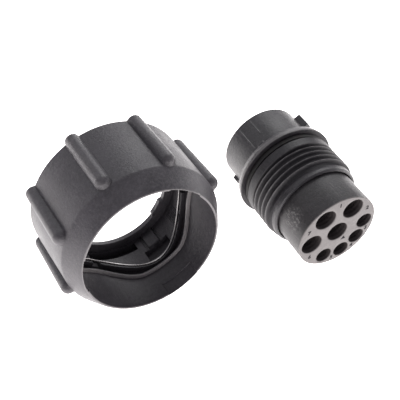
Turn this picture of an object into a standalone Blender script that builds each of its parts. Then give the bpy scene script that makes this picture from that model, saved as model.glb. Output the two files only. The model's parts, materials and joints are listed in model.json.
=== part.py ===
"""Trailer wiring connector, unmated: a bayonet coupling ring lying beside its plug.

Blender 4.5. Metres, +Z up. The ring's axis runs along Y with its mouth at -Y. Each piece is drawn
along the local Y axis of its own unit (0 at the unit's front end) and placed by a parent empty.
"""
import math

import bmesh
import bpy
from mathutils import Matrix

MM = 0.001

# Driving dimensions, in millimetres
RING_MOUTH = (-22.82, -11.66, 22.79)
PLUG_FACE = (29.10, -20.87, 13.34)
PLUG_TILT = 4.57
PLUG_YAW = 2.05

RING_LENGTH = 26.6
RING_CONE = 5.6
MOUTH_R = 18.37
MOUTH_LIP_R = 19.0
BARREL_FRONT_R = 22.1
BARREL_REAR_R = 22.55
LAND_R = 17.8
LEDGE_NEAR = 9.6
LEDGE_DROP = 4.6
WAVE_PHASE = -66.0
STARTS = 3
RIBS = 8
RIB_R = 2.05
RIB_CREST_R = 24.5
RIB_START = 5.4
LIP_R = 15.15
LIP_FRONT = 22.6
LIP_REAR = 24.2
REAR_R = 18.5
TRACK_R = 19.3
SPRING_OUT_R = 17.0
SPRING_IN_R = 16.0
SPRING_MID = 15.1
SPRING_WAVE = 3.3
SPRING_THICK = 0.6

PLUG_LENGTH = 41.88
FACE_R = 12.36
SLEEVE_FRONT = 10.74
SLEEVE_BORE_R = 12.66
SLEEVE_NOSE_R = 13.4
THREAD_ROOT_R = 13.55
THREAD_R = 14.4
THREAD_FRONT = 12.1
THREAD_PITCH = 2.0
THREAD_TURNS = 5
COLLAR_END = 25.0
FLANGE_FRONT = 26.85
FLANGE_R = 15.53
FLANGE_BACK = 29.07
FLANGE_BACK_R = 15.04
BACK_STEP = 30.6
BACK_R = 12.5
BACK_BORE_R = 11.6
SHOULDER = 21.0
INSERT_R = 11.3
INSERT_END = 38.9
SEAL_DEPTH = 14.0
LOCK_FRONT = 39.2
LOCK_THICK = 2.2
GAP = 0.3

# Cavities: (angle in degrees seen from the front, distance from the axis)
POWER = [(0.0, 0.0)] + [(a, 8.3) for a in (63.0, 127.0, 191.0)]
SIGNAL = [(a, 8.95) for a in (3.5, -34.5, -71.5, -109.5)]
# Wire seal bore, contact bore, pin entry, contact, hood inside and hood outside radii
POWER_R = (3.2, 2.5, 1.25, 1.7, 1.85, 2.2)
SIGNAL_R = (2.45, 1.85, 0.8, 1.15, 1.3, 1.55)

STEPS = 48
FINE_STEPS = 72
HOLE_STEPS = 20


def clear_scene():
    """Remove whatever the file opened with."""
    for obj in list(bpy.data.objects):
        bpy.data.objects.remove(obj, do_unlink=True)


def material(name, colour, roughness, metallic=0.0):
    """A plain Principled material."""
    mat = bpy.data.materials.new(name)
    mat.use_nodes = True
    shader = mat.node_tree.nodes["Principled BSDF"]
    shader.inputs["Base Color"].default_value = (*colour, 1.0)
    shader.inputs["Roughness"].default_value = roughness
    shader.inputs["Metallic"].default_value = metallic
    mat.diffuse_color = (*colour, 1.0)
    return mat


def unit(name, place, tilt=0.0, yaw=0.0):
    """An empty that carries one of the two loose items; its local Y is the item's axis."""
    empty = bpy.data.objects.new(name, None)
    bpy.context.collection.objects.link(empty)
    empty.location = [v * MM for v in place]
    empty.rotation_euler = (math.radians(tilt), 0.0, -math.radians(yaw))
    return empty


def add_object(name, mesh_data, mat=None, parent=None):
    """Turn a bmesh into a linked object and free the bmesh."""
    mesh = bpy.data.meshes.new(name)
    mesh_data.to_mesh(mesh)
    mesh_data.free()
    obj = bpy.data.objects.new(name, mesh)
    bpy.context.collection.objects.link(obj)
    if mat:
        mesh.materials.append(mat)
    obj.parent = parent
    return obj


def polar(angle, radius):
    """Cross-section position (x, z) of a point at an angle seen from the front."""
    a = math.radians(angle)
    return radius * math.cos(a), radius * math.sin(a)


def spin(outline, start=0.0, sweep=360.0, steps=STEPS):
    """A bmesh solid: a closed (radius, y) outline in millimetres turned about the Y axis.

    Angles run from +X towards +Z. A full turn closes on itself; a part turn gets two end faces.
    """
    bm = bmesh.new()
    full = sweep >= 360.0
    stations = []
    for k in range(steps if full else steps + 1):
        x, z = polar(start + sweep * k / steps, 1.0)
        stations.append([bm.verts.new((r * x, y, r * z)) for r, y in outline])
    pairs = list(zip(stations, stations[1:] + stations[:1])) if full else list(zip(stations, stations[1:]))
    for near, far in pairs:
        for i in range(len(outline)):
            j = (i + 1) % len(outline)
            if outline[i][0] or outline[j][0]:
                bm.faces.new((near[i], near[j], far[j], far[i]))
    if not full:
        bm.faces.new(stations[0])
        bm.faces.new(stations[-1])
    bmesh.ops.remove_doubles(bm, verts=bm.verts, dist=1e-4)
    bmesh.ops.dissolve_degenerate(bm, edges=bm.edges, dist=1e-5)
    for vert in [v for v in bm.verts if not v.link_faces]:
        bm.verts.remove(vert)
    bmesh.ops.recalc_face_normals(bm, faces=bm.faces)
    return bm


def merge(parts):
    """One bmesh holding several separate closed solids."""
    whole = bmesh.new()
    for bm in parts:
        mesh = bpy.data.meshes.new("merge")
        bm.to_mesh(mesh)
        bm.free()
        whole.from_mesh(mesh)
        bpy.data.meshes.remove(mesh)
    return whole


def shift(bm, x=0.0, y=0.0, z=0.0):
    """Move a bmesh by millimetres."""
    bmesh.ops.translate(bm, verts=bm.verts, vec=(x, y, z))
    return bm


def triangulate(mesh):
    """Split every face into triangles, so that no face the Boolean meets is bent."""
    bm = bmesh.new()
    bm.from_mesh(mesh)
    bmesh.ops.triangulate(bm, faces=bm.faces)
    bm.to_mesh(mesh)
    bm.free()


def combine(obj, bm, operation):
    """Apply a Boolean between an object and a helper solid, then remove the helper.

    The MANIFOLD solver is used because EXACT leaves open edges on these finely faceted walls.
    """
    helper = add_object("helper", bm, parent=obj.parent)
    triangulate(helper.data)
    triangulate(obj.data)
    helper.display_type = "WIRE"
    helper.hide_render = True
    mod = obj.modifiers.new("combine", "BOOLEAN")
    mod.operation = operation
    mod.solver = "MANIFOLD"
    mod.object = helper
    depsgraph = bpy.context.evaluated_depsgraph_get()
    result = bpy.data.meshes.new_from_object(obj.evaluated_get(depsgraph))
    obj.modifiers.clear()
    old = obj.data
    obj.data = result
    bpy.data.meshes.remove(old)
    bpy.data.objects.remove(helper, do_unlink=True)


def finish(obj, angle=35.0):
    """Bring a piece drawn in millimetres to metres, shaded smooth with its corners kept sharp."""
    obj.data.transform(Matrix.Scale(MM, 4))
    obj.data.shade_smooth()
    obj.data.set_sharp_from_angle(angle=math.radians(angle))
    return obj


def ramp(t):
    """Smooth step from 0 to 1."""
    t = min(max(t, 0.0), 1.0)
    return t * t * (3.0 - 2.0 * t)


def start_offset(vertex):
    """Degrees from the nearest of the ring's three bayonet starts."""
    angle = math.degrees(math.atan2(vertex.co.z, vertex.co.x)) - WAVE_PHASE
    period = 360.0 / STARTS
    return abs((angle + period / 2) % period - period / 2)


def ledge_cutter():
    """The mouth bore: a plug whose inner end follows the wavy bayonet ledge."""
    bm = spin([(15.9, -1), (MOUTH_R, -1), (MOUTH_R, LEDGE_NEAR), (15.9, LEDGE_NEAR)], steps=FINE_STEPS)
    for v in bm.verts:
        if v.co.y > 0:
            v.co.y += LEDGE_DROP * ramp((start_offset(v) - 18.0) / 42.0)
    return bm


def ring_cutters():
    """Bayonet entry channels and tracks, and the shallow reliefs in the mouth lip."""
    cuts = []
    for k in range(STARTS):
        turn = 360.0 / STARTS * k
        entry = [(17.0, 8), (18.9, 8), (18.9, 21.6), (17.0, 21.6)]
        track = [(17.0, 19.2), (TRACK_R, 19.2), (TRACK_R, 22.2), (17.0, 22.2)]
        relief = [(18.0, -1), (18.7, -1), (18.7, 4), (18.0, 4)]
        cuts.append(spin(entry, -124.0 + turn, 7.0, 3))
        cuts.append(spin(track, -121.5 + turn, 44.5, 14))
        cuts.append(spin(relief, -77.0 + turn, 30.0, 10))
    return cuts


def ring_ribs():
    """Eight half-round grip ribs with rounded front ends."""
    ribs = []
    for k in range(RIBS):
        arc = [(RIB_R * math.sin(math.radians(a)), RIB_START + RIB_R * (1 - math.cos(math.radians(a))))
               for a in (0, 30, 60, 90)]
        x, z = polar(22.5 + 360.0 / RIBS * k, RIB_CREST_R - RIB_R)
        ribs.append(shift(spin(arc + [(RIB_R, RING_LENGTH - 0.06), (0, RING_LENGTH - 0.06)], steps=12), x, 0, z))
    return merge(ribs)


def coupling_ring(mat, parent):
    """The bayonet coupling ring moulding."""
    outline = [(LAND_R, 0.3), (MOUTH_R + 0.3, 0), (MOUTH_LIP_R, 0), (BARREL_FRONT_R, RING_CONE),
               (BARREL_REAR_R, RING_LENGTH - 0.4), (BARREL_REAR_R - 0.4, RING_LENGTH),
               (REAR_R, RING_LENGTH), (REAR_R, LIP_REAR), (LIP_R, LIP_REAR), (LIP_R, LIP_FRONT),
               (LAND_R, LIP_FRONT)]
    ring = add_object("coupling_ring", spin(outline, steps=FINE_STEPS), mat, parent)
    combine(ring, ledge_cutter(), "DIFFERENCE")
    for cut in ring_cutters():
        combine(ring, cut, "DIFFERENCE")
    block = [(17.25, 15.0), (18.3, 15.0), (18.3, LIP_FRONT + 0.4), (17.25, LIP_FRONT + 0.4)]
    for k in range(STARTS):
        combine(ring, spin(block, -68.0 + 360.0 / STARTS * k, 12.0, 4), "UNION")
    combine(ring, ring_ribs(), "UNION")
    return finish(ring)


def wave_spring(mat, parent):
    """The three-lobed wave spring inside the ring."""
    half = SPRING_THICK / 2
    low, high = SPRING_MID - half, SPRING_MID + half
    outline = [(SPRING_IN_R, low), (SPRING_OUT_R, low), (SPRING_OUT_R, high), (SPRING_IN_R, high)]
    bm = spin(outline, steps=FINE_STEPS)
    for v in bm.verts:
        angle = math.atan2(v.co.z, v.co.x) - math.radians(WAVE_PHASE)
        v.co.y -= SPRING_WAVE * math.cos(STARTS * angle)
    return finish(add_object("wave_spring", bm, mat, parent), 50)


def thread_outline():
    """Crests and roots of the gland thread, from the sleeve's nose to its collar."""
    points = []
    for k in range(THREAD_TURNS):
        y = THREAD_FRONT + THREAD_PITCH * k
        points += [(THREAD_ROOT_R, y), (THREAD_R, y + 0.65), (THREAD_R, y + 0.95), (THREAD_ROOT_R, y + 1.6)]
    return points


def plug_shell(mat, parent):
    """The plug's outer shell: threaded sleeve, collar, flange, mating barrel and its two keys."""
    outline = [(SLEEVE_BORE_R, SLEEVE_FRONT), (SLEEVE_NOSE_R - 0.25, SLEEVE_FRONT),
               (SLEEVE_NOSE_R, SLEEVE_FRONT + 0.3)]
    outline += thread_outline()
    outline += [(THREAD_R, 22.4), (THREAD_R, COLLAR_END), (12.95, COLLAR_END), (12.95, FLANGE_FRONT),
                (FLANGE_R, FLANGE_FRONT), (FLANGE_R, FLANGE_FRONT + 0.9), (FLANGE_BACK_R, FLANGE_BACK),
                (BACK_R, BACK_STEP), (BACK_R, PLUG_LENGTH - 0.3), (BACK_R - 0.3, PLUG_LENGTH),
                (BACK_BORE_R, PLUG_LENGTH), (BACK_BORE_R, SHOULDER + GAP), (SLEEVE_BORE_R, SHOULDER + GAP)]
    shell = add_object("plug_shell", spin(outline), mat, parent)
    main_key = [(12.0, 34.6), (14.5, 34.6), (14.5, 39.7), (12.0, 39.7)]
    small_key = [(12.0, 35.0), (13.5, 35.0), (13.5, 37.2), (12.0, 37.2)]
    combine(shell, spin(main_key, 30.0, 9.0, 3), "UNION")
    combine(shell, spin(small_key, -154.0, 8.0, 3), "UNION")
    return finish(shell)


def rod(radius, front, back, place):
    """A round cutter along Y at a cavity's place."""
    x, z = polar(*place)
    return shift(spin([(0, front), (radius, front), (radius, back), (0, back)], steps=HOLE_STEPS), x, 0, z)


def cavity(sizes, place):
    """A stepped through cavity: wire seal bore, contact bore and pin entry in one solid."""
    seal, contact, entry = sizes[:3]
    outline = [(0, -1), (seal + 1.3, -1), (seal, 0.3), (seal, SEAL_DEPTH), (contact, SEAL_DEPTH + 0.7),
               (contact, INSERT_END - 0.9), (entry, INSERT_END - 0.9), (entry, 45), (0, 45)]
    x, z = polar(*place)
    return shift(spin(outline, steps=HOLE_STEPS), x, 0, z)


def contact_insert(mat, parent):
    """The contact carrier: front barrel, rear stem, seal groove and eight stepped cavities."""
    outline = [(0, 0), (FACE_R - 0.3, 0), (FACE_R, 0.3), (FACE_R, 16.0), (11.2, 16.0), (11.2, 17.7),
               (FACE_R, 17.7), (FACE_R, SHOULDER), (INSERT_R, SHOULDER), (INSERT_R, INSERT_END), (0, INSERT_END)]
    insert = add_object("contact_insert", spin(outline), mat, parent)
    for place in POWER:
        combine(insert, cavity(POWER_R, place), "DIFFERENCE")
    for place in SIGNAL:
        combine(insert, cavity(SIGNAL_R, place), "DIFFERENCE")
    return finish(insert)


def contact_lock(mat, parent):
    """The perforated plate at the mating face that locks the contacts when pushed home."""
    end = LOCK_FRONT + LOCK_THICK
    outline = [(0, LOCK_FRONT), (INSERT_R, LOCK_FRONT), (INSERT_R, end - 0.3), (INSERT_R - 0.3, end), (0, end)]
    lock = add_object("contact_lock", spin(outline), mat, parent)
    for place in POWER:
        combine(lock, rod(POWER_R[2], 38, 43, place), "DIFFERENCE")
    for place in SIGNAL:
        combine(lock, rod(SIGNAL_R[2], 38, 43, place), "DIFFERENCE")
    return finish(lock)


def insert_seal(mat, parent):
    """The O-ring between the carrier and the sleeve."""
    ring = [(11.85 + 0.5 * math.cos(math.radians(a)), 16.85 + 0.5 * math.sin(math.radians(a)))
            for a in range(0, 360, 45)]
    return finish(add_object("insert_seal", spin(ring), mat, parent), 60)


def flange_seal(mat, parent):
    """The flat gasket in the groove ahead of the flange."""
    outline = [(13.25, 25.3), (14.1, 25.3), (14.25, 25.45), (14.25, 26.4), (14.1, 26.55), (13.25, 26.55)]
    return finish(add_object("flange_seal", spin(outline), mat, parent))


def socket_contact(name, sizes, place, mat, parent):
    """A turned socket contact: crimp barrel at the wire side, socket at the mating side."""
    r = sizes[3]
    outline = [(0, 21.5), (0.68 * r, 21.5), (0.68 * r, 15.5), (0.9 * r, 15.5), (0.9 * r, 21), (r, 21.5),
               (r, 37.2), (0.72 * r, 37.6), (0.72 * r, 25), (0, 25)]
    x, z = polar(*place)
    return finish(add_object(name, shift(spin(outline, steps=16), x, 0, z), mat, parent))


def contact_hood(name, sizes, place, mat, parent):
    """The spring hood around a contact's socket."""
    inside, outside = sizes[4:]
    outline = [(inside, 25.5), (outside, 25.5), (outside, 36.0), (inside, 36.0)]
    x, z = polar(*place)
    return finish(add_object(name, shift(spin(outline, steps=16), x, 0, z), mat, parent))


def main():
    """Build the ring unit and the plug unit."""
    clear_scene()
    ring_plastic = material("ring_plastic", (0.105, 0.10, 0.11), 0.42)
    shell_plastic = material("shell_plastic", (0.09, 0.088, 0.095), 0.40)
    insert_plastic = material("insert_plastic", (0.10, 0.10, 0.105), 0.45)
    lock_plastic = material("lock_plastic", (0.45, 0.12, 0.03), 0.45)
    rubber = material("rubber", (0.03, 0.03, 0.03), 0.7)
    spring_steel = material("spring_steel", (0.55, 0.55, 0.55), 0.3, 1.0)
    brass = material("contact_brass", (0.75, 0.6, 0.3), 0.3, 1.0)

    ring_unit = unit("ring_unit", RING_MOUTH)
    plug_unit = unit("plug_unit", PLUG_FACE, PLUG_TILT, PLUG_YAW)
    coupling_ring(ring_plastic, ring_unit)
    wave_spring(spring_steel, ring_unit)
    plug_shell(shell_plastic, plug_unit)
    contact_insert(insert_plastic, plug_unit)
    contact_lock(lock_plastic, plug_unit)
    insert_seal(rubber, plug_unit)
    flange_seal(rubber, plug_unit)
    for kind, places, sizes in (("power", POWER, POWER_R), ("signal", SIGNAL, SIGNAL_R)):
        for number, place in enumerate(places, 1):
            socket_contact(f"{kind}_contact_{number}", sizes, place, brass, plug_unit)
            contact_hood(f"{kind}_hood_{number}", sizes, place, spring_steel, plug_unit)


main()
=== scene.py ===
"""Looks of an unmated trailer wiring connector: a bayonet coupling ring lying beside its plug.

Laid out as a Blender add-on and run as a script. Every new piece is a surface worked out with numpy in
millimetres along its own axis (Y, 0 at the front end) and then carried to its place in the frame.
"""
import json
import math

import bmesh
import bpy
import numpy as np
from bpy.props import FloatProperty, FloatVectorProperty, IntProperty, PointerProperty
from mathutils import Matrix, Vector


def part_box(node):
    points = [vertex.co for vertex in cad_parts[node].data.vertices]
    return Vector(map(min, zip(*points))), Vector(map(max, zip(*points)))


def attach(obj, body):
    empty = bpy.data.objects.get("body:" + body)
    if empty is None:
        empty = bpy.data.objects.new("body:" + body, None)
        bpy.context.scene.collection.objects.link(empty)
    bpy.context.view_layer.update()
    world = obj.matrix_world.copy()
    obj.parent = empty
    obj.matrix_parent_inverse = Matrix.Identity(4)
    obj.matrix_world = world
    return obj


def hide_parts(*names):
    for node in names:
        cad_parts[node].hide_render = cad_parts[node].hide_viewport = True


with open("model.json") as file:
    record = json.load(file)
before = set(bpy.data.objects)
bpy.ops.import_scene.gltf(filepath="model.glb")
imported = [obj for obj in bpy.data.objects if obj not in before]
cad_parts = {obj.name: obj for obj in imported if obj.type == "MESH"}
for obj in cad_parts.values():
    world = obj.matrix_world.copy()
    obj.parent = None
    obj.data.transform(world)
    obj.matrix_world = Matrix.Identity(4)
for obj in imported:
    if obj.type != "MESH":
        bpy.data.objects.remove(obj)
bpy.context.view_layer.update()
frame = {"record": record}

bl_info = {
    "name": "Trailer wiring connector",
    "version": (1, 0, 0),
    "blender": (4, 5, 0),
    "location": "View3D > Sidebar > Connector",
    "description": "Builds the visible pieces of a bayonet ring and its plug around the packed solids",
    "category": "Object",
}

MM = 0.001
JOINTS = frame["record"]["behaviour"]["joints"]
MOUNTS = frame["record"]["mounts"]


# ---------------- places taken from the frame

def listed(items, name):
    """The item of that name in one of the record's lists."""
    return next(item for item in items if item["name"] == name)


def ring_place():
    """Ring unit's matrix: its axis is the bayonet turn's, and its mouth is the ring solid's lowest Y."""
    pivot = listed(JOINTS, "ring_turn")["pos_m"]
    low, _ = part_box("coupling_ring")
    return Matrix.Translation((pivot[0], low[1], pivot[2]))


def plug_place():
    """Plug unit's matrix: Y along the lock plate's slide, origin where the axis meets the wire-side face."""
    axis = Vector(listed(JOINTS, "lock_slide")["axis"]).normalized()
    low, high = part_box("power_contact_1")
    centre = (Vector(low) + Vector(high)) / 2
    face = Vector(listed(MOUNTS, "wire_side_face")["pos_m"])
    origin = centre + axis * (face - centre).dot(axis)
    side = axis.cross(Vector((0, 0, 1))).normalized()
    turn = Matrix((side, axis, side.cross(axis))).transposed().to_4x4()
    return Matrix.Translation(origin) @ turn


# ---------------- sizes and colours

def size(name, value, words):
    """A length property given in millimetres."""
    return FloatProperty(name=name, description=words, default=value * MM, unit="LENGTH", precision=5)


def tint(name, value, words):
    """A linear colour property."""
    return FloatVectorProperty(name=name, description=words, default=value, subtype="COLOR",
                               size=3, min=0, max=1)


class RingSizes(bpy.types.PropertyGroup):
    """Sizes of the coupling ring and its spring."""
    mouth: size("Mouth radius", 18.37, "Inside radius of the mouth")
    lip: size("Lip radius", 19.0, "Outside radius of the mouth lip")
    front: size("Front radius", 22.1, "Barrel radius where the cone ends")
    rear: size("Rear radius", 22.55, "Barrel radius at the rear rim")
    cone: size("Cone length", 5.6, "Length of the conical front")
    length: size("Length", 26.6, "Overall length")
    rib: size("Rib radius", 2.05, "Radius of the half-round grip ribs")
    rib_seat: size("Rib centre", 22.45, "Distance of a rib's centre line from the axis")
    rib_start: size("Rib start", 5.4, "Where a rib's rounded front end begins")
    ribs: IntProperty(name="Ribs", description="Number of grip ribs", default=8, min=1)
    land: size("Land radius", 17.8, "Bore behind the wavy ledge")
    ledge: size("Ledge depth", 9.6, "Nearest distance of the wavy ledge from the mouth")
    drop: size("Ledge drop", 4.6, "How far the ledge falls back between two starts")
    undercut: size("Undercut radius", 19.4, "Bore of the pocket between the wavy ledge and the spring")
    opening: size("Opening radius", 15.15, "Radius of the inner lip's opening")
    spring_depth: size("Spring depth", 14.6, "Mean distance of the wave spring from the mouth")
    spring_wave: size("Spring wave", 3.3, "Half the spring's wave height")


class PlugSizes(bpy.types.PropertyGroup):
    """Sizes of the plug's shell, carrier and lock plate."""
    nose: size("Nose radius", 12.36, "Radius of the contact carrier's nose")
    sleeve_front: size("Sleeve front", 10.74, "Where the threaded sleeve begins")
    thread_root: size("Thread root", 13.5, "Radius of the thread's root")
    thread_crest: size("Thread crest", 14.4, "Radius of the thread's crest")
    pitch: size("Pitch", 2.0, "Advance of the thread per turn")
    flange: size("Flange radius", 15.45, "Outside radius of the flange")
    barrel: size("Barrel radius", 12.5, "Radius of the mating barrel")
    length: size("Length", 41.88, "Distance of the shell's far end from the wire-side face")
    power: size("Power bore", 3.2, "Radius of a power wire's seal bore")
    signal: size("Signal bore", 2.45, "Radius of a signal wire's seal bore")
    digit: size("Digit height", 1.85, "Height of the moulded cavity numbers")


class Finishes(bpy.types.PropertyGroup):
    """Colours of the connector's materials, in linear light."""
    ring: tint("Ring plastic", (0.056, 0.052, 0.059), "Satin moulded plastic of the coupling ring")
    shell: tint("Shell plastic", (0.030, 0.028, 0.032), "Satin moulded plastic of the plug's shell")
    insert: tint("Carrier plastic", (0.032, 0.030, 0.032), "Fine-grained plastic of the contact carrier")
    lock: tint("Lock plastic", (0.32, 0.095, 0.03), "Plastic of the contact lock plate")
    rubber: tint("Rubber", (0.018, 0.018, 0.018), "Rubber of the seals")
    steel: tint("Spring steel", (0.36, 0.345, 0.345), "Steel of the wave spring and hoods")
    brass: tint("Contact brass", (0.72, 0.55, 0.26), "Plated brass of the contacts")


class StageSizes(bpy.types.PropertyGroup):
    """Camera, floor and light."""
    azimuth: FloatProperty(name="Azimuth", description="Camera's turn round the object",
                           default=math.radians(-29.25), subtype="ANGLE")
    elevation: FloatProperty(name="Elevation", description="Camera's height angle",
                             default=math.radians(40.7), subtype="ANGLE")
    distance: size("Distance", 237.2, "Camera's distance from its target")
    target: FloatVectorProperty(name="Target", description="Point at the middle of the view",
                                default=(10.2 * MM, 23.05 * MM, 0.0), subtype="TRANSLATION", precision=5)
    lens: FloatProperty(name="Lens", description="Focal length for a 36 mm sensor",
                        default=67.15, unit="CAMERA")
    floor: tint("Floor", (0.9, 0.9, 0.9), "Pale floor")
    glow: FloatProperty(name="Floor glow", description="Light from the table's translucent top", default=2.4)
    sky: FloatProperty(name="Studio light", description="Even light from all round", default=0.38)


# ---------------- surfaces

def polar(angle, radius):
    """Cross-section position (x, z) of a point at an angle in degrees seen from the front."""
    a = np.radians(angle)
    return radius * np.cos(a), radius * np.sin(a)


def ease(t):
    """Smooth step: 0 below 0, 1 above 1, and 3t^2 - 2t^3 between."""
    t = np.clip(t, 0.0, 1.0)
    return t * t * (3.0 - 2.0 * t)


def soft_max(a, b, k):
    """Larger of a and b with a fillet of size k: b + k ln(1 + exp((a - b) / k))."""
    return b + k * np.logaddexp(0.0, (a - b) / k)


def between(value, low, high, edge):
    """1 inside low..high and 0 outside, with straight flanks of width edge."""
    return np.clip((value - low) / edge, 0, 1) * np.clip((high - value) / edge, 0, 1)


def about(angle, centre):
    """Signed degrees from centre to angle, -180 to 180."""
    return (angle - centre + 180.0) % 360.0 - 180.0


def apart(angles):
    """Angles in order, without any that lies within 0.04 degrees of the next."""
    merged = np.unique(np.round(angles, 3))
    return merged[np.append(np.diff(merged) > 0.04, True)]


def stations(base, *edges, flank=0.25):
    """Angles in degrees for a grid's columns: an even spread, plus a close group at each given edge."""
    angles = [np.linspace(-180, 180, base, endpoint=False)]
    for edge in edges:
        angles.append(np.array([edge - flank, edge, edge + flank]))
    return apart(about(np.concatenate(angles), 0.0))


def tube_faces(rows, columns):
    """Quads of a grid that closes on itself both ways, as an index array."""
    i, j = np.meshgrid(np.arange(rows), np.arange(columns), indexing="ij")
    i2, j2 = (i + 1) % rows, (j + 1) % columns
    corners = i * columns + j, i2 * columns + j, i2 * columns + j2, i * columns + j2
    return np.stack(corners, -1).reshape(-1, 4)


def outward(points, faces):
    """The faces turned, if need be, so that the enclosed volume (a sum of a . (b x c) / 6) is positive."""
    a, b, c, d = (points[faces[:, k]] for k in range(4))
    volume = np.einsum("ij,ij->", a, np.cross(b, c)) + np.einsum("ij,ij->", a, np.cross(c, d))
    return faces if volume > 0 else faces[:, ::-1]


def in_scene(name, data):
    """A new object of the data, linked into the scene."""
    obj = bpy.data.objects.new(name, data)
    bpy.context.collection.objects.link(obj)
    return obj


def mesh_object(name, points, faces, place):
    """A smooth mesh from millimetre points carried to its place."""
    world = np.array(place, float)
    points = points * MM @ world[:3, :3].T + world[:3, 3]
    mesh = bpy.data.meshes.new(name)
    faces = outward(points - points.mean(0), np.asarray(faces))
    mesh.from_pydata(points, [], faces.tolist())
    mesh.shade_smooth()
    return in_scene(name, mesh)


def store(obj, name, values):
    """Keep one number for each vertex under a name."""
    layer = obj.data.attributes.new(name, "FLOAT", "POINT")
    layer.data.foreach_set("value", np.asarray(values, np.float32).ravel())


def turned(name, radius, height, angles, place, sharp):
    """A closed turned skin, with edges over sharp degrees kept crisp.

    Row i, column j lies at the polar point (radius[i, j], angle[j]) and at height[i, j] along the axis.
    """
    x, z = polar(angles, radius)
    points = np.stack([x, height, z], -1)
    rows, columns = radius.shape
    obj = mesh_object(name, points.reshape(-1, 3), tube_faces(rows, columns), place)
    obj.data.set_sharp_from_angle(angle=math.radians(sharp))
    return obj


def rounded(corners, bend=0.25, steps=4):
    """A closed outline with each corner (radius, y) cut back by bend and bridged by a curve.

    The curve is the quadratic (1-t)^2 p + 2t(1-t) q + t^2 r through the corner q.
    """
    corners = np.asarray(corners, float)
    t = np.linspace(0, 1, steps)[:, None]
    points = []
    for q, before, after in zip(corners, np.roll(corners, 1, 0), np.roll(corners, -1, 0)):
        reach = min(bend, 0.45 * np.linalg.norm(before - q), 0.45 * np.linalg.norm(after - q))
        p = q + (before - q) / np.linalg.norm(before - q) * reach
        r = q + (after - q) / np.linalg.norm(after - q) * reach
        points.append((1 - t) ** 2 * p + 2 * t * (1 - t) * q + t ** 2 * r)
    return np.concatenate(points)


def even_rows(outline, angles):
    """Rows of an outline (radius, y) carried round the axis; a radius may be one number for each angle."""
    flat = np.ones_like(angles)
    return [(radius * flat, y * flat) for radius, y in outline]


def lathe(name, outline, place, columns, sharp):
    """A closed outline (radius, y) turned round the axis."""
    angles = np.linspace(-180, 180, columns, endpoint=False)
    radius = np.repeat(outline[:, :1], columns, 1)
    height = np.repeat(outline[:, 1:], columns, 1)
    return turned(name, radius, height, angles, place, sharp)


# ---------------- coupling ring

BEND = 0.22
REAR_BEND = 0.35
STARTS = 3
START_ANGLE = -66.0

# Features of the bore: a span of angles, then a span of depths from the mouth. The angles are degrees from
# the middle of each start, but those of the two nicks are seen from the front.
RELIEF = (-11.2, 19.2), (-1.0, 4.1)
CHANNEL = (-58.2, -50.8), (7.9, 21.7)
TRACK = (-55.7, -10.8), (19.1, 22.3)
POCKET = (-8.0, 17.0), (13.2, 16.6)
BLOCK = (-2.2, 10.2), (16.9, 23.0)
GROOVES = (-4.7, 12.7), (16.6, 23.0)
TEETH = (29.0, 43.0), (15.5, 21.5)
NICKS = ((-167.0, -163.5), (-1.0, 1.1)), ((44.0, 47.0), (-1.0, 1.1))
FEATURE_EDGES = (-58, -55.5, -51, -11, -8, -4.5, -2, 10, 12.5, 16.5, 19)


def from_start(angles):
    """Signed degrees from the middle of the nearest bayonet start."""
    step = 360.0 / STARTS
    return (angles - START_ANGLE + step / 2) % step - step / 2


def ledge_depth(angles, s):
    """Depth of the wavy ledge: near over each start's middle, easing back by drop towards its ends."""
    off = np.abs(from_start(angles))
    return s.ledge / MM + s.drop / MM * ease((off - 18.0) / 42.0)


def spring_line(angles, s):
    """Depth of the wave spring's middle: its mean depth less half the wave's height times cos 3a."""
    return s.spring_depth / MM - s.spring_wave / MM * np.cos(np.radians(STARTS * (angles - START_ANGLE)))


def rib_height(angles, y, s):
    """Radius of the nearest grip rib's half-round surface, or 0 away from it.

    A round bar of radius b centred at distance c: c cos a + sqrt(b^2 - e^2 - c^2 sin^2 a), with e the way
    past the start of its rounded ends.
    """
    step = 360.0 / s.ribs
    a = np.radians(angles % step - step / 2)
    b, c = s.rib / MM, s.rib_seat / MM
    front = np.clip(s.rib_start / MM + b - y, 0, None)
    back = np.clip(y - (s.length / MM - 0.7), 0, None) * 1.25
    room = b * b - front ** 2 - back ** 2 - (c * np.sin(a)) ** 2
    return np.where(room > 0, c * np.cos(a) + np.sqrt(np.clip(room, 0, None)), 0.0)


def barrel_radius(y, s):
    """Cone, then slightly tapered barrel, met by a soft minimum."""
    cone = s.lip / MM + (s.front - s.lip) / s.cone * y
    body = s.front / MM + (s.rear - s.front) / (s.length - s.cone) * (y - s.cone / MM)
    return -soft_max(-cone, -body, 0.07)


def ring_columns(s):
    """Column angles: even, close across each rib and tooth, and grouped at every edge of the features."""
    b, c = s.rib / MM, s.rib_seat / MM
    across = np.degrees(np.arcsin(b * np.sin(np.linspace(-1.75, 1.75, 25)) / c * 1.12))
    ribs = [about(360.0 / s.ribs * (k + 0.5) + across, 0) for k in range(s.ribs)]
    starts = [START_ANGLE + 360.0 / STARTS * k for k in range(STARTS)]
    edges = [start + edge for start in starts for edge in FEATURE_EDGES]
    edges += [edge for turn, _ in NICKS for edge in turn]
    teeth = [about(start + np.linspace(28.5, 43.5, 38), 0) for start in starts]
    return apart(np.concatenate([stations(120, *edges), *ribs, *teeth]))


def patch(angles, y, feature, flank, slope):
    """1 on a feature of the bore and 0 off it, with sides flank degrees and ends slope millimetres wide."""
    turn, depth = feature
    return between(angles, *turn, flank) * between(y, *depth, slope)


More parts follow.
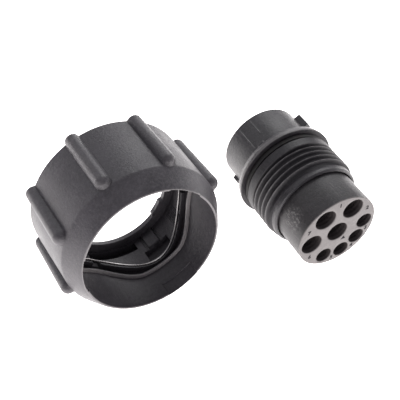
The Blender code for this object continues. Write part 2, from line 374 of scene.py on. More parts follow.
def inner_radius(angles, y, front, s):
    """Radius of the bore with its bayonet features.

    Ahead of the ledge: the mouth radius, with a shallow relief at each start and two nicks in the lip.
    Behind it: the land radius, with an entry channel, a track and a pocket cut outwards to their floors, a
    guide block standing inwards between two narrow grooves, and teeth that follow a cosine of the angle.
    """
    local = from_start(angles)
    if front:
        nicks = sum(patch(angles, y, nick, 0.4, 0.15) for nick in NICKS)
        return s.mouth / MM + 0.3 * nicks + 0.33 * patch(local, y, RELIEF, 0.5, 0.15)
    radius = s.land / MM
    for feature, floor, flank, slope in ((CHANNEL, 18.9, 0.4, 0.12), (TRACK, 20.2, 0.4, 0.12),
                                         (POCKET, 19.2, 0.5, 0.15)):
        radius = radius + (floor - radius) * patch(local, y, feature, flank, slope)
    block = patch(local, y, BLOCK, 0.4, 0.2)
    grooves = patch(local, y, GROOVES, 0.4, 0.2) * (1 - block)
    teeth = patch(local, y, TEETH, 1.0, 0.4) * (0.5 + 0.5 * np.cos(local * 3.2))
    return radius - 0.4 * block + 0.4 * grooves - 0.3 * teeth


def quarter_turn(first, steps):
    """Pairs (1 - sin t, 1 - cos t) for t from a fraction of a quarter turn to all of it."""
    t = np.linspace(first, 1, steps) * math.pi / 2
    return zip(1 - np.sin(t), 1 - np.cos(t))


def ring_outside(angles, s):
    """Rows (radius, height) from the mouth's lip over the cone, barrel and ribs to the rear face."""
    rows = []
    flat = np.ones_like(angles)
    length, lip, start = s.length / MM, s.lip / MM, s.rib_start / MM
    for along, rise in quarter_turn(0, 5):
        rows.append(((lip - BEND * along) * flat, BEND * rise * flat))
    levels = np.concatenate([np.linspace(BEND, 4.6, 12)[1:], np.linspace(4.8, start + 2.4, 30),
                             np.linspace(start + 2.8, length - 1.8, 20),
                             np.linspace(length - 1.5, length - REAR_BEND, 9)])
    for y in levels:
        rows.append((soft_max(rib_height(angles, y, s), barrel_radius(y, s), 0.05), y * flat))
    edge = soft_max(rib_height(angles, length - REAR_BEND, s), s.rear / MM, 0.05)
    for along, rise in quarter_turn(0.2, 5):
        rows.append((edge - REAR_BEND * rise, (length - REAR_BEND * along) * flat))
    for t in np.linspace(0.1, 1, 6):
        rows.append(((edge - REAR_BEND) * (1 - t) + 18.6 * t, length * flat))
    return rows


def ring_rear(angles, s):
    """Rows from the rear bore round the inner lip, whose opening has small tabs between the starts."""
    opening = s.opening / MM - 0.8 * between(from_start(angles), 21, 44, 2.5)
    face, back = 22.6, 24.2
    bore, bend = 18.5, 0.15
    outline = ((bore, s.length / MM - 0.1), (bore, 25.8), (bore, back + bend), (bore - bend, back),
               (17.3, back), (16.2, back), (opening + bend, back), (opening, back - bend), (opening, 23.4),
               (opening, face + bend), (opening + bend, face), (16.2, face), (17.0, face))
    return even_rows(outline, angles)


def bore_row(angles, y, front, s):
    """A row of the bore at depth y, which is one number or one for each angle."""
    y = y * np.ones_like(angles)
    return inner_radius(angles, y, front, s), y


def ring_bore(angles, s):
    """Rows from the inner lip forward through the tracks and the undercut, over the ledge to the mouth.

    Between the tracks and the undercut the rows keep a fixed share of the way, close together where a block,
    groove or pocket ends. The ledge's edge stands in from the land, ahead of the wave spring.
    """
    rows = [bore_row(angles, y, False, s) for y in (22.6, 22.35, 22.25, 22.15, 21.75, 21.65, 21.5, 20.5, 19.5,
                                                    19.3, 19.2, 19.1, 18.9)]
    ledge = ledge_depth(angles, s)
    near, far = ledge + 0.5, spring_line(angles, s) - 0.3
    shares = (0.94, 0.88, 0.82, 0.78, 0.76, 0.745, 0.73, 0.715, 0.7, 0.685, 0.67, 0.655, 0.63, 0.6, 0.59,
              0.575, 0.565, 0.55, 0.54, 0.51, 0.485, 0.475, 0.465, 0.455, 0.445, 0.43, 0.35, 0.27, 0.2,
              0.13, 0.07, 0.03, 0.0)
    rows += [bore_row(angles, far + 0.14 + (18.9 - far - 0.14) * t, False, s) for t in shares]
    for t in (0.0, 0.3, 0.7, 1.0):
        radius, y = bore_row(angles, far + (near - far) * t, False, s)
        rows.append((np.maximum(radius, s.undercut / MM), y))
    edge = (s.land / MM - 0.4) * np.ones_like(angles)
    for t in (0.0, 0.3, 0.7, 1.0):
        rows.append((edge, near - 0.12 + (ledge - near + 0.12) * t))
    for t in (0.1, 0.4, 0.7, 0.9, 1.0):
        radius = edge * (1 - t) + inner_radius(angles, ledge, True, s) * t
        rows.append((radius, ledge - 0.10 * ease(4 * t)))
    shares = np.concatenate([np.linspace(0.97, 0.60, 10), [0.585, 0.575, 0.565, 0.555, 0.54, 0.50, 0.46],
                             [0.435, 0.425, 0.415, 0.40, 0.33], np.linspace(0.3, 0.02, 7)])
    rows += [bore_row(angles, (ledge - 0.12) * t, True, s) for t in shares]
    mouth, _ = bore_row(angles, 0.0, True, s)
    return rows + even_rows([(mouth + 0.12, 0.03), (mouth * 0.5 + (s.lip / MM - BEND) * 0.5, 0.0)], angles)


class CONNECTOR_OT_coupling_ring(bpy.types.Operator):
    """Ribbed bayonet ring with its wavy ledge, tracks and guide blocks"""
    bl_idname = "connector.coupling_ring"
    bl_label = "Coupling ring"

    def execute(self, context):
        s = context.scene.connector_ring
        angles = ring_columns(s)
        rows = ring_outside(angles, s) + ring_rear(angles, s) + ring_bore(angles, s)
        radius, height = (np.array(part) for part in zip(*rows))
        # Paler high spots: the rib crests, the cone's end and the mouth's lip, partly abrasion and partly
        # painted highlight, and the wavy ledge's edge, a strong painted highlight.
        crest = ease((radius - s.rear / MM - 0.9) / 0.7) + ease(1 - np.abs(height - s.cone / MM) / 0.5) * 0.5
        ledge = ease((1 - np.abs(height - ledge_depth(angles, s) + 0.06) / 0.3)) * (radius < 18.4)
        ring = turned("ring_body", radius, height, angles, ring_place(), 40)
        store(ring, "wear_and_highlight", 0.4 * crest + 2.2 * ease(1 - height / 0.25) + 5.0 * ledge)
        # Painted shade: the bore behind the mouth is darkened a little and the undercut pocket strongly, but
        # not the ledge's edge.
        inside = (radius < 18.85) * (height > 0.12) * (height < 22.7)
        pocket = ease((radius - 18.42) / 0.3) * (height > 7.6) * (height < 22.55) * (radius < 20.6)
        store(ring, "painted_shade", np.maximum(0.35 * inside, 0.75 * pocket) * (1 - ledge))
        finish_piece(ring, "ring", ring_plastic(), "coupling_ring")
        return {"FINISHED"}


class CONNECTOR_OT_wave_spring(bpy.types.Operator):
    """Three-lobed wave spring: a rounded strip whose depth follows a cosine"""
    bl_idname = "connector.wave_spring"
    bl_label = "Wave spring"

    def execute(self, context):
        s = context.scene.connector_ring
        angles = np.linspace(-180, 180, 288, endpoint=False)
        outline = rounded([(16.8, -0.2), (17.35, -0.2), (17.35, 0.2), (16.8, 0.2)], 0.1)
        wave = spring_line(angles, s)
        radius = np.repeat(outline[:, :1], len(angles), 1)
        spring = turned("spring_band", radius, outline[:, 1:] + wave, angles, ring_place(), 60)
        finish_piece(spring, "spring", spring_steel(), "wave_spring")
        return {"FINISHED"}


# ---------------- plug

def thread_radius(angles, y, s):
    """Helical thread, fading in from the front.

    Its narrow crests are (0.5 + 0.5 cos)^2.6 of the phase, which is y / pitch less the turns.
    """
    phase = y / (s.pitch / MM) - angles / 360.0
    tooth = (0.5 + 0.5 * np.cos(2 * np.pi * phase)) ** 2.6
    root, crest = s.thread_root / MM, s.thread_crest / MM
    fade = ease((y - 11.9) / 2.6)
    return root + (crest - root) * tooth * fade


def shell_outside(angles, y, s):
    """Radius of the shell's outside ahead of the groove: nose chamfer, thread, then smooth collar."""
    collar = ease((y - 21.5) / 0.6)
    thread = thread_radius(angles, y, s)
    nose = s.thread_root / MM - 0.35 * ease((11.3 - y) / 0.55)
    return np.where(y < 11.2, nose, thread * (1 - collar) + s.thread_crest / MM * collar)


def key_height(angles, y):
    """How far the two keys and the mould marks stand off the mating barrel."""
    main = 2.0 * between(angles, 29.8, 39.2, 0.5) * between(y, 34.55, 39.75, 0.15)
    small = 1.0 * between(angles, -154.2, -145.8, 0.5) * between(y, 34.95, 37.25, 0.15)
    line = 0.09 * np.exp(-((angles - 117) / 0.5) ** 2) * between(y, 34.5, 41.3, 0.4)
    line = line + 0.09 * np.exp(-((angles - 135) / 0.5) ** 2) * between(y, 31.2, 41.3, 0.4)
    step = 0.25 * between(angles, 120, 131, 2.0) * between(y, 30.6, 32.0, 0.4)
    return main + small + line + step


def shell_rows(angles, s):
    """Rows from the sleeve's nose over the thread, collar, groove, flange and barrel, and back inside."""
    flat = np.ones_like(angles)
    front, length, barrel = s.sleeve_front / MM, s.length / MM, s.barrel / MM
    crest, flange = s.thread_crest / MM, s.flange / MM
    rows = even_rows([(12.66, front + 0.1), (12.76, front), (13.0, front)], angles)
    threads = np.concatenate([np.linspace(front + 0.02, 11.2, 6), np.arange(11.3, 22.3, 0.1),
                              [22.8, 23.8, 24.6]])
    rows += [(shell_outside(angles, y * flat, s), y * flat) for y in threads]
    groove = [(crest, 25.0), (12.95, 25.0), (12.95, 26.85), (flange, 26.85), (flange, 27.75), (15.04, 29.07),
              (barrel + 0.05, 30.6)]
    rows += even_rows(rounded(groove, 0.2, 5)[5:], angles)
    keys = np.concatenate([[30.8, 31.0, 31.2, 31.4, 31.7, 32.1, 33.0, 34.0, 34.5, 34.56, 34.62, 34.7, 34.9],
                           [34.96, 35.04, 35.12], np.linspace(35.4, 36.9, 4), [37.08, 37.16, 37.24, 37.4],
                           [38.2, 39.2, 39.58, 39.66, 39.74, 39.9, 40.6, 41.3, length - 0.3]])
    rows += [(barrel + key_height(angles, y), y * flat) for y in keys]
    inside = ((barrel - 0.09, length - 0.09), (barrel - 0.3, length), (11.75, length), (11.6, length - 0.15),
              (11.6, 36.0), (11.6, 30.0), (11.6, 21.45), (11.75, 21.3), (12.5, 21.3), (12.66, 21.15),
              (12.66, 16.0))
    rows += even_rows(inside, angles)
    return (np.array(part) for part in zip(*rows))


class CONNECTOR_OT_plug_shell(bpy.types.Operator):
    """Plug shell: helical thread, collar, flange and mating barrel with its keys"""
    bl_idname = "connector.plug_shell"
    bl_label = "Plug shell"

    def execute(self, context):
        s = context.scene.connector_plug
        angles = stations(200, 30, 39, -154, -146, 116.5, 117, 117.5, 134.5, 135, 135.5, 120, 131)
        radius, height = shell_rows(angles, s)
        # Paler thread crests and flange rim: partly abrasion and partly painted highlight.
        crest = ease((radius - s.thread_crest / MM + 0.15) / 0.15) * (height < 22)
        rim = radius > s.flange / MM - 0.1
        shell = turned("shell_body", radius, height, angles, plug_place(), 40)
        store(shell, "wear_and_highlight", 2.0 * (crest + rim))
        # Painted shade: the thread's roots and the collar ahead of the groove are darkened.
        low = ease((s.thread_crest / MM - 0.1 - radius) / 0.5) * (height > 12.5) * (radius > 13.3)
        collar = ease((height - 21.6) / 0.8) * (height < 27.0) * (radius > 12.8)
        store(shell, "painted_shade", 0.6 * low * (height < 22) + 0.35 * collar)
        finish_piece(shell, "plug", shell_plastic(), "plug_shell")
        return {"FINISHED"}


def cavities():
    """Where the cavities are: (angle, distance from the axis) of the power and the signal ones."""
    power = [(0.0, 0.0)] + [(a, 8.3) for a in (63.0, 127.0, 191.0)]
    signal = [(a, 8.95) for a in (3.5, -34.5, -71.5, -109.5)]
    return power, signal


def solid_of_turning(outline, columns, x=0.0, z=0.0):
    """A bmesh of an outline (radius, y) from axis to axis, turned about a line at (x, z)."""
    outline = np.asarray(outline, float)
    angles = np.linspace(-180, 180, columns, endpoint=False)
    across, up = polar(angles, outline[:, :1])
    height = np.repeat(outline[:, 1:], columns, 1)
    points = np.stack([across + x, height, up + z], -1).reshape(-1, 3)
    faces = outward(points - points.mean(0), tube_faces(len(outline), columns))
    mesh = bpy.data.meshes.new("turning")
    mesh.from_pydata(points, [], faces.tolist())
    bm = bmesh.new()
    bm.from_mesh(mesh)
    bpy.data.meshes.remove(mesh)
    bmesh.ops.remove_doubles(bm, verts=bm.verts, dist=1e-5)
    bmesh.ops.dissolve_degenerate(bm, edges=bm.edges, dist=1e-6)
    bmesh.ops.recalc_face_normals(bm, faces=bm.faces)
    return bm


def as_object(name, bm):
    """An object of a bmesh, which is freed."""
    mesh = bpy.data.meshes.new(name)
    bm.to_mesh(mesh)
    bm.free()
    return in_scene(name, mesh)


def settled(obj):
    """A new mesh of an object with its modifiers applied, or of a text's outlines."""
    return bpy.data.meshes.new_from_object(obj.evaluated_get(bpy.context.evaluated_depsgraph_get()))


def drilled(name, body, cutters, place):
    """A turned body with cutters taken out, carried to its place."""
    obj = as_object(name, body)
    for cutter in cutters:
        tool = as_object("tool", cutter)
        cut = obj.modifiers.new("cut", "BOOLEAN")
        cut.operation = "DIFFERENCE"
        cut.solver = "MANIFOLD"
        cut.object = tool
        result = settled(obj)
        obj.modifiers.clear()
        obj.data = result
        bpy.data.objects.remove(tool, do_unlink=True)
    obj.data.name = name
    obj.data.transform(place @ Matrix.Scale(MM, 4))
    obj.data.shade_smooth()
    obj.data.set_sharp_from_angle(angle=math.radians(30.0))
    return obj


def bore_cutter(seal, contact, entry, x, z):
    """A stepped cavity: a mouth rounded as r = seal + b (1 - cos t), then sealing ribs r = seal - h sin^2.

    Behind the seal's bore come the contact's chamber and the narrow entry for the mating pin.
    """
    t = np.linspace(math.pi / 2, 0, 5)
    mouth = np.stack([seal + 0.28 * (1 - np.cos(t)), 0.28 * (1 - np.sin(t))], -1)
    y = np.linspace(0.6, 7.8, 49)
    ribs = np.stack([seal - 0.10 * np.sin((y - 0.6) * np.pi / 1.2) ** 2, y], -1)
    chamber = [(seal, 14.0), (contact, 14.7), (contact, 38.0), (entry, 38.0), (entry, 45), (0, 45)]
    outline = np.concatenate([[(0, -1), (seal + 0.28, -1)], mouth, ribs, chamber])
    return solid_of_turning(outline, 56, x, z)


def in_plug(obj):
    """A piece's vertices in the plug's own millimetres, as arrays of x, y and z."""
    spots = np.empty(len(obj.data.vertices) * 3)
    obj.data.vertices.foreach_get("co", spots)
    back = np.array(plug_place().inverted(), float)
    return ((spots.reshape(-1, 3) @ back[:3, :3].T + back[:3, 3]) / MM).T


class CONNECTOR_OT_contact_insert(bpy.types.Operator):
    """Contact carrier with eight stepped cavities"""
    bl_idname = "connector.contact_insert"
    bl_label = "Contact carrier"

    def execute(self, context):
        s = context.scene.connector_plug
        nose = s.nose / MM
        half = rounded([(0.0, 0.02), (nose, 0.02), (nose, 16.0), (11.2, 16.0), (11.2, 17.7), (nose, 17.7),
                        (nose, 21.0), (11.3, 21.0), (11.3, 38.9), (0.0, 38.9)], 0.22)
        outline = [(0.0, 0.02), *[p for p in half if p[0] > 0.3], (0.0, 38.9)]
        power, signal = cavities()
        cutters = [bore_cutter(s.power / MM, 2.5, 1.25, *polar(*place)) for place in power]
        cutters += [bore_cutter(s.signal / MM, 1.85, 0.8, *polar(*place)) for place in signal]
        insert = drilled("carrier_body", solid_of_turning(outline, 192), cutters, plug_place())
        # Painted shade: each wire-side bore is darkened from just inside its mouth.
        across, depth, up = in_plug(insert)
        inside = np.zeros(len(depth))
        for place, radius in [(p, s.power / MM) for p in power] + [(p, s.signal / MM) for p in signal]:
            x, z = polar(*place)
            inside = np.maximum(inside, np.hypot(across - x, up - z) < radius + 0.12)
        store(insert, "painted_shade", 0.6 * inside * ease((depth - 0.05) / 0.3))
        finish_piece(insert, "plug", carrier_plastic(), "contact_insert")
        return {"FINISHED"}


class CONNECTOR_OT_cavity_numbers(bpy.types.Operator):
    """Small generic numbers moulded between the cavities, and a triangle by the middle one, all painted dark
    with shade
    """
    bl_idname = "connector.cavity_numbers"
    bl_label = "Cavity numbers"

    def execute(self, context):
        s = context.scene.connector_plug
        place = plug_place()
        gaps = (95.0, 33.0, -15.5, -53.0, -90.5, -140.0, 159.0)
        joined = bmesh.new()
        for number, angle in enumerate(gaps, 1):
            curve = bpy.data.curves.new("number", "FONT")
            curve.body = str(number)
            curve.size = s.digit
            curve.extrude = 0.05 * MM
            curve.offset = 0.07 * MM
            curve.align_x, curve.align_y = "CENTER", "CENTER"
            writer = in_scene("number", curve)
            mesh = settled(writer)
            x, z = polar(angle, 10.55)
            stand = Matrix.Translation((x * MM, 0.03 * MM, z * MM)) @ Matrix.Rotation(math.pi / 2, 4, "X")
            mesh.transform(place @ stand)
            joined.from_mesh(mesh)
            bpy.data.meshes.remove(mesh)
            bpy.data.objects.remove(writer, do_unlink=True)
        x, z = polar(-55.0, 4.4)
        corners = [joined.verts.new(place @ Vector(((x + dx) * MM, 0.005 * MM, (z + dz) * MM)))
                   for dx, dz in ((-0.75, -0.5), (0.85, -0.4), (0.2, 0.8))]
        joined.faces.new(corners)
        bmesh.ops.remove_doubles(joined, verts=joined.verts, dist=1e-7)
        numbers = as_object("cavity_numbers", joined)
        # Painted shade: the raised numbers and the triangle are darkened nearly all over.
        store(numbers, "painted_shade", np.full(len(numbers.data.vertices), 0.9))
        finish_piece(numbers, "plug", shell_plastic())
        return {"FINISHED"}


class CONNECTOR_OT_contact_lock(bpy.types.Operator):
    """Perforated plate at the mating face that locks the contacts"""
    bl_idname = "connector.contact_lock"
    bl_label = "Contact lock"

    def execute(self, context):
        half = rounded([(0.0, 39.2), (11.3, 39.2), (11.3, 41.4), (0.0, 41.4)], 0.25)
        outline = [(0.0, 39.2), *[p for p in half if p[0] > 0.3], (0.0, 41.4)]
        power, signal = cavities()
        holes = [(1.25, place) for place in power] + [(0.8, place) for place in signal]
        cutters = []
        for radius, place in holes:
            funnel = [(0, 38), (radius, 38), (radius, 40.9), (radius + 0.12, 41.15), (radius + 0.5, 41.5),
                      (0, 41.5)]
            cutters.append(solid_of_turning(funnel, 40, *polar(*place)))
        lock = drilled("lock_plate", solid_of_turning(outline, 128), cutters, plug_place())
        finish_piece(lock, "lock", lock_plastic(), "contact_lock")
        return {"FINISHED"}


class CONNECTOR_OT_seals(bpy.types.Operator):
    """Flange gasket and carrier O-ring"""
    bl_idname = "connector.seals"
    bl_label = "Seals"

    def execute(self, context):
        gasket = rounded([(13.25, 25.25), (14.2, 25.25), (14.2, 26.6), (13.25, 26.6)], 0.3, 6)
        t = np.linspace(0, 2 * np.pi, 24, endpoint=False)
        ring = np.stack([11.85 + 0.5 * np.cos(t), 16.85 + 0.5 * np.sin(t)], -1)
        for name, outline, node in (("flange_gasket", gasket, "flange_seal"),
                                    ("carrier_ring", ring, "insert_seal")):
            seal = lathe(name, outline, plug_place(), 160, 60)
            finish_piece(seal, "plug", seal_rubber(), node)
        return {"FINISHED"}


class CONNECTOR_OT_contacts(bpy.types.Operator):
    """Turned sockets and their spring hoods, one pair for each cavity"""
    bl_idname = "connector.contacts"
    bl_label = "Contacts"

    def execute(self, context):
        power, signal = cavities()
        kinds = (("power", power, 1.7, 1.85, 2.2), ("signal", signal, 1.15, 1.3, 1.55))
        for kind, places, r, inside, outside in kinds:
            socket = rounded([(0.3 * r, 21.5), (0.68 * r, 21.5), (0.68 * r, 15.5), (0.9 * r, 15.5),
                              (0.9 * r, 21), (r, 21.5), (r, 37.2), (0.72 * r, 37.5), (0.72 * r, 25),
                              (0.3 * r, 25)], 0.1, 3)
            hood = rounded([(inside, 25.5), (outside, 25.5), (outside, 36.0), (inside, 36.0)], 0.08, 3)
            for number, (angle, distance) in enumerate(places, 1):
                x, z = polar(angle, distance)
                place = plug_place() @ Matrix.Translation((x * MM, 0, z * MM))
                contact = lathe(f"{kind}_socket_{number}", socket, place, 32, 40)
                finish_piece(contact, "plug", contact_brass(), f"{kind}_contact_{number}")
                sleeve = lathe(f"{kind}_sleeve_{number}", hood, place, 32, 40)
                finish_piece(sleeve, "plug", spring_steel(), f"{kind}_hood_{number}")
        return {"FINISHED"}


# ---------------- materials

class Value:
    """A shader socket with arithmetic: an expression on values adds its Math nodes."""

    def __init__(self, paint, socket):
        self.paint = paint
        self.socket = socket

    def math(self, operation, other):
        """A Math node of this value and another value or number."""
        return self.paint.node("ShaderNodeMath", {"operation": operation}, {0: self, 1: other})

    def __add__(self, other):
        return self.math("ADD", other)

    def __mul__(self, other):
        return self.math("MULTIPLY", other)

    def __sub__(self, other):
        return self.math("SUBTRACT", other)

    def __rsub__(self, other):
        return self.paint.node("ShaderNodeMath", {"operation": "SUBTRACT"}, {0: other, 1: self})

    __radd__ = __add__
    __rmul__ = __mul__

    def held(self):
        """The value kept at or below 1."""
        return self.math("MINIMUM", 1.0)

    def ramp(self, low, high):
        """0 at low, 1 at high, smoothly between."""
        return self.paint.node("ShaderNodeMapRange", {"interpolation_type": "SMOOTHSTEP"},
                               {"Value": self, "From Min": low, "From Max": high})


class Paint:
    """Builds one material's nodes around its Principled shader."""

    def __init__(self, name):
        self.material = bpy.data.materials.new(name)
        self.material.use_nodes = True
        self.tree = self.material.node_tree
        self.shader = self.tree.nodes["Principled BSDF"]

    def feed(self, socket, value):
        """Link a Value to a socket, or set a plain value on it."""
        if isinstance(value, Value):
            self.tree.links.new(value.socket, socket)
        else:
            socket.default_value = value

    def node(self, kind, settings, inputs, output=0):
        """Add a node: its settings first, then its sockets' values or links; returns one output."""
        node = self.tree.nodes.new(kind)
        for key, value in settings.items():
            setattr(node, key, value)
        for key, value in inputs.items():
            self.feed(node.inputs[key], value)
        return Value(self, node.outputs[output])

    def vector(self, operation, a, b, output=0):
        """A Vector Math node of two vectors; its value comes from the output called Value."""
        return self.node("ShaderNodeVectorMath", {"operation": operation}, {0: a, 1: tuple(b)}, output)

    def place(self, stretch=(1.0, 1.0, 1.0)):
        """Object coordinates in millimetres, scaled along each axis by stretch."""
        spot = self.node("ShaderNodeTexCoord", {}, {}, "Object")
        return self.vector("MULTIPLY", spot, (1000.0 * v for v in stretch))

    def noise(self, scale, detail=3.0, stretch=(1.0, 1.0, 1.0), roughness=0.55):
        """Fractal noise with scale in waves per millimetre."""
        return self.node("ShaderNodeTexNoise", {}, {"Vector": self.place(stretch), "Scale": scale,
                                                    "Detail": detail, "Roughness": roughness})

    def mix(self, factor, a, b):
        """Blend of two colours."""
        return self.node("ShaderNodeMix", {"data_type": "RGBA"}, {0: factor, 6: a, 7: b}, 2)

    def stored(self, name):
        """One of the piece's own attributes, 0 where it has none."""
        return self.node("ShaderNodeAttribute", {"attribute_name": name}, {}, "Fac")

    def ahead_of(self, origin, normal):
        """Millimetres by which a point lies in front of the plane through origin with that normal."""
        spot = self.vector("SUBTRACT", self.place(), origin)
        return self.vector("DOT_PRODUCT", spot, normal, "Value")

    def distance_from(self, point):
        """Millimetres from a point."""
        return self.vector("DISTANCE", self.place(), point, "Value")

    def bump(self, height, distance, strength=1.0, under=None):
        """Bump of a height pattern, distance in millimetres."""
        inputs = {"Height": height, "Distance": distance * MM, "Strength": strength}
        if under:
            inputs["Normal"] = under
        return self.node("ShaderNodeBump", {}, inputs)

    def matt(self, amount, colour):
        """Cover the surface by an amount from 0 to 1 with painted shade: a plain lustreless coat with no
        reflection.
        """
        coat = self.node("ShaderNodeBsdfPrincipled", {},
                         {"Base Color": colour, "Roughness": 1.0, "Specular IOR Level": 0.0})
        under = Value(self, self.shader.outputs[0])
        cover = self.node("ShaderNodeMixShader", {}, {0: amount, 1: under, 2: coat})
        self.feed(self.tree.nodes["Material Output"].inputs["Surface"], cover)

    def finish(self, **sockets):
        """Feed the Principled shader's sockets; underscores stand for spaces."""
        for key, value in sockets.items():
            self.feed(self.shader.inputs[key.replace("_", " ")], value)
        return self.material


def shade(colour, factor):
    """A linear colour scaled by a factor, with alpha."""
    return (*(min(c * factor, 1.0) for c in colour), 1.0)


# Linear colours, with alpha, of the marks on plastic and rubber. The pale edge colour is partly painted
# highlight, and the face colour is partly painted light.
SCUFF = (0.26, 0.25, 0.25, 1.0)
WORN_AND_HIGHLIGHT = (0.36, 0.34, 0.34, 1.0)
DUST = (0.40, 0.38, 0.37, 1.0)
FROST_AND_PAINTED_LIGHT = (0.27, 0.25, 0.245, 1.0)
GRIT = (0.34, 0.33, 0.33, 1.0)
BLOOM = (0.055, 0.05, 0.045, 1.0)


def moulded(name, colour, roughness, grain, scuffs, streak=(1.0, 0.12, 1.0), face=None, rub=None,
            painted_shade_colour=None):
    """Satin glass-filled plastic: mottled tone, fine grain, axial streaks, pale scuffs, dust, and high spots
    made paler by abrasion and by painted highlight.

    A face (point, outward direction) is frosted, rougher and paler with painted light, and a rub (point,
    radius) is speckled where it was handled; both are in millimetres. The piece's wear attribute marks its
    high spots, paler from abrasion and from painted highlight, and its recess attribute marks hollows,
    covered with painted
    shade: a darkened lustreless coat in the colour of the plastic or of painted_shade_colour.
    """
    paint = Paint(name)
    tone = paint.noise(0.11, 4.0).ramp(0.3, 0.7)
    mottle = paint.noise(1.3, 4.0, roughness=0.7)
    streaks = paint.noise(1.6, 3.0, streak).ramp(0.52, 0.72)
    area = paint.noise(0.22, 2.0).ramp(0.5, 0.66)
    dust = paint.noise(3.0, 1.0).ramp(0.69, 0.76)
    # Paler high spots: partly abrasion and partly painted highlight.
    worn_and_highlight = paint.stored("wear_and_highlight") * (0.45 + 0.55 * mottle)
    pocket = paint.stored("painted_shade")
    scuff = streaks * area * scuffs
    base = paint.mix(tone, shade(colour, 0.80), shade(colour, 1.18))
    base = paint.mix(mottle.ramp(0.38, 0.66) * (0.95 * grain), base, shade(colour, 1.75))
    base = paint.mix(scuff * 0.30, base, SCUFF)
    base = paint.mix(worn_and_highlight * 0.20, base, WORN_AND_HIGHLIGHT)
    base = paint.mix(dust * 0.16, base, DUST)
    rough = roughness + 0.10 * tone + 0.14 * scuff - 0.08 * worn_and_highlight.held() + 0.16 * (mottle - 0.5)
    if face:
        # The face is frosted rougher, and its paler colour is painted light.
        frost_and_painted_light = paint.ahead_of(*face).ramp(-0.45, -0.12) * (0.75 + 0.5 * mottle)
        base = paint.mix(frost_and_painted_light * 0.55, base, FROST_AND_PAINTED_LIGHT)
        rough = rough + 0.12 * frost_and_painted_light
    if rub:
        point, radius = rub
        near = 1.0 - paint.distance_from(point).ramp(0.3 * radius, radius)
        rubbed = paint.noise(1.9, 4.0, (1.0, 0.6, 1.0), 0.8).ramp(0.50, 0.60) * near
        base = paint.mix(rubbed * 0.5, base, GRIT)
        rough = rough + 0.15 * rubbed
    # Painted shade: hollows are covered by a darkened lustreless coat with no reflection.
    paint.matt(pocket.held(), shade(painted_shade_colour or colour, 0.6))
    fine = paint.bump(paint.noise(4.0, 2.0), 0.05, grain)
    peel = paint.bump(mottle, 0.13, 1.0, fine)
    drawn = paint.bump(streaks, 0.012, 0.5 * scuffs, peel)
    return paint.finish(Base_Color=base, Roughness=rough, Normal=drawn)


def rubber(name, colour):
    """Seal rubber: lustreless, with a faint bloom and talc in patches."""
    paint = Paint(name)
    bloom = paint.noise(0.5, 4.0).ramp(0.42, 0.75)
    speck = paint.noise(6.0, 2.0)
    return paint.finish(Base_Color=paint.mix(bloom * 0.6, shade(colour, 1.0), BLOOM),
                        Roughness=0.62 + 0.2 * bloom, Normal=paint.bump(speck, 0.02, 0.6))


def metal(name, colour, roughness, draw, tarnish):
    """Drawn or turned metal: fine lines across the stretch given, and darker tarnish in patches."""
    paint = Paint(name)
    lines = paint.noise(4.0, 3.0, draw)
    dull = paint.noise(0.6, 3.0).ramp(0.45, 0.75)
    base = paint.mix(dull * tarnish, shade(colour, 1.0), shade(colour, 0.45))
    base = paint.mix(lines.ramp(0.4, 0.7) * 0.3, base, shade(colour, 1.2))
    return paint.finish(Base_Color=base, Metallic=1.0, Roughness=roughness + 0.15 * lines + 0.15 * dull,
                        Normal=paint.bump(lines, 0.006, 0.6))


def made(name, maker, *settings):
    """The material of that name, built by its maker the first time it is asked for."""
    return bpy.data.materials.get(name) or maker(name, *settings)


def finishes():
    """The colour settings."""
    return bpy.context.scene.connector_finish


def ring_plastic():
    """Coupling ring: satin, lightly scuffed."""
    return made("ring_finish", moulded, finishes().ring, 0.38, 0.5, 0.5)


def shell_plastic():
    """Plug shell: a little smoother, with drawn streaks along the mating barrel."""
    return made("shell_finish", moulded, finishes().shell, 0.34, 0.4, 0.6)


def carrier_plastic():
    """Contact carrier: finer streaks, more scuffs, a frosted wire-side face paler with painted light, a
    rubbed patch, and brownish painted shade in its bores.
    """
    place = plug_place()
    face = place.translation / MM, place.to_3x3() @ Vector((0, -1, 0))
    x, z = polar(160.0, 12.36)
    rub = place @ Vector((x * MM, 6.0 * MM, z * MM)) / MM, 5.0
    return made("carrier_finish", moulded, finishes().insert, 0.38, 0.6, 1.0, (1.6, 0.10, 1.6), face, rub,
                (0.12, 0.103, 0.102))


def lock_plastic():
    """Lock plate: bright unfilled plastic."""
    return made("lock_finish", moulded, finishes().lock, 0.36, 0.1, 0.1)


def seal_rubber():
    """Rubber of the gasket and the O-ring."""
    return made("rubber_finish", rubber, finishes().rubber)


def spring_steel():
    """Bright drawn spring strip."""
    return made("steel_finish", metal, finishes().steel, 0.20, (1.0, 8.0, 1.0), 0.3)


def contact_brass():
    """Turned and plated brass."""
    return made("brass_finish", metal, finishes().brass, 0.22, (0.3, 6.0, 0.3), 0.5)


def finish_piece(obj, body, material, node=None):
    """Give a piece its material, let it ride its body, and hide the packed part it stands for."""
    obj.data.materials.clear()
    obj.data.materials.append(material)
    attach(obj, body)
    if node:
        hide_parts(node)


# ---------------- stage

def soft_light(name, spot, target, width, power):
    """A square area light aimed at a target."""
    lamp = bpy.data.lights.new(name, "AREA")
    lamp.shape = "SQUARE"
    lamp.size = width
    lamp.energy = power
    obj = in_scene(name, lamp)
    obj.location = spot
    obj.rotation_mode = "QUATERNION"
    obj.rotation_quaternion = (spot - target).to_track_quat("Z", "Y")


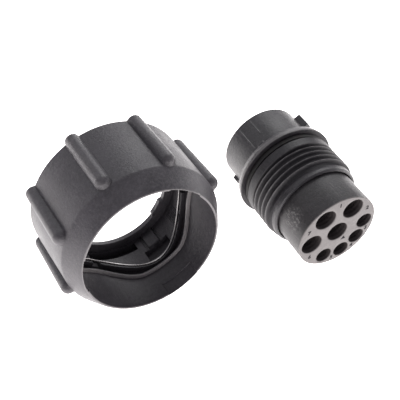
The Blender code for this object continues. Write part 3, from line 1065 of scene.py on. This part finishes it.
class CONNECTOR_OT_stage(bpy.types.Operator):
    """Pale floor, soft studio light and camera"""
    bl_idname = "connector.stage"
    bl_label = "Stage"

    def execute(self, context):
        s = context.scene.connector_stage
        mesh = bpy.data.meshes.new("floor")
        reach = 40.0
        corners = [(-reach, -reach, 0), (reach, -reach, 0), (reach, reach, 0), (-reach, reach, 0)]
        mesh.from_pydata(corners, [], [(0, 1, 2, 3)])
        floor = in_scene("floor", mesh)
        floor.location.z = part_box("coupling_ring")[0][2] - 0.02 * MM
        paint = Paint("floor")
        mesh.materials.append(paint.finish(Base_Color=(*s.floor, 1.0), Roughness=0.9,
                                           Emission_Color=(1.0, 0.965, 0.955, 1.0), Emission_Strength=s.glow))

        world = bpy.data.worlds.new("studio")
        world.use_nodes = True
        background = world.node_tree.nodes["Background"]
        background.inputs["Color"].default_value = (0.96, 0.94, 1.0, 1.0)
        background.inputs["Strength"].default_value = s.sky
        context.scene.world = world
        context.scene.view_settings.view_transform = "Standard"

        a, e = s.azimuth, s.elevation
        back = Vector((math.sin(a) * math.cos(e), -math.cos(a) * math.cos(e), math.sin(e)))
        right = Vector((math.cos(a), math.sin(a), 0))
        away = Vector((-math.sin(a), math.cos(a), 0))
        middle = Vector((0, 0, 0.015))
        # Each lamp: metres to the right, away and up from the middle, then its width and power.
        for name, across, behind, above, width, power in (("key", -0.35, 0.25, 0.45, 0.35, 0.35),
                                                          ("rim", 0.12, 0.5, 0.42, 0.4, 1.7),
                                                          ("side", 0.5, 0.25, 0.06, 0.25, 0.5)):
            spot = middle + right * across + away * behind + Vector((0, 0, above))
            soft_light(name, spot, middle, width, power)

        camera = in_scene("camera", bpy.data.cameras.new("camera"))
        camera.data.lens = s.lens
        camera.data.sensor_width = 36.0
        camera.data.clip_start = 0.01
        camera.location = Vector(s.target) + back * s.distance
        camera.rotation_mode = "QUATERNION"
        camera.rotation_quaternion = back.to_track_quat("Z", "Y")
        context.scene.camera = camera
        return {"FINISHED"}


# ---------------- panel and running

GROUPS = (("connector_ring", RingSizes), ("connector_plug", PlugSizes),
          ("connector_finish", Finishes), ("connector_stage", StageSizes))
OPERATORS = (CONNECTOR_OT_coupling_ring, CONNECTOR_OT_wave_spring, CONNECTOR_OT_plug_shell,
             CONNECTOR_OT_contact_insert, CONNECTOR_OT_cavity_numbers, CONNECTOR_OT_contact_lock,
             CONNECTOR_OT_seals, CONNECTOR_OT_contacts, CONNECTOR_OT_stage)


class CONNECTOR_PT_panel(bpy.types.Panel):
    """Lists the connector's sizes, colours and pieces"""
    bl_idname = "CONNECTOR_PT_panel"
    bl_label = "Trailer connector"
    bl_space_type = "VIEW_3D"
    bl_region_type = "UI"
    bl_category = "Connector"

    def draw(self, context):
        for key, group in GROUPS:
            box = self.layout.box()
            for name in group.__annotations__:
                box.prop(getattr(context.scene, key), name)
        for operator in OPERATORS:
            self.layout.operator(operator.bl_idname)


def register():
    """Register the property groups, operators and panel."""
    for key, group in GROUPS:
        bpy.utils.register_class(group)
        setattr(bpy.types.Scene, key, PointerProperty(type=group))
    for item in (*OPERATORS, CONNECTOR_PT_panel):
        bpy.utils.register_class(item)


def unregister():
    """Remove everything that register added."""
    for item in reversed((*OPERATORS, CONNECTOR_PT_panel)):
        bpy.utils.unregister_class(item)
    for key, group in reversed(GROUPS):
        delattr(bpy.types.Scene, key)
        bpy.utils.unregister_class(group)


def main():
    """Build every piece and the stage."""
    register()
    for operator in OPERATORS:
        group, name = operator.bl_idname.split(".")
        getattr(getattr(bpy.ops, group), name)()
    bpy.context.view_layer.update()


if __name__ == "__main__":
    main()
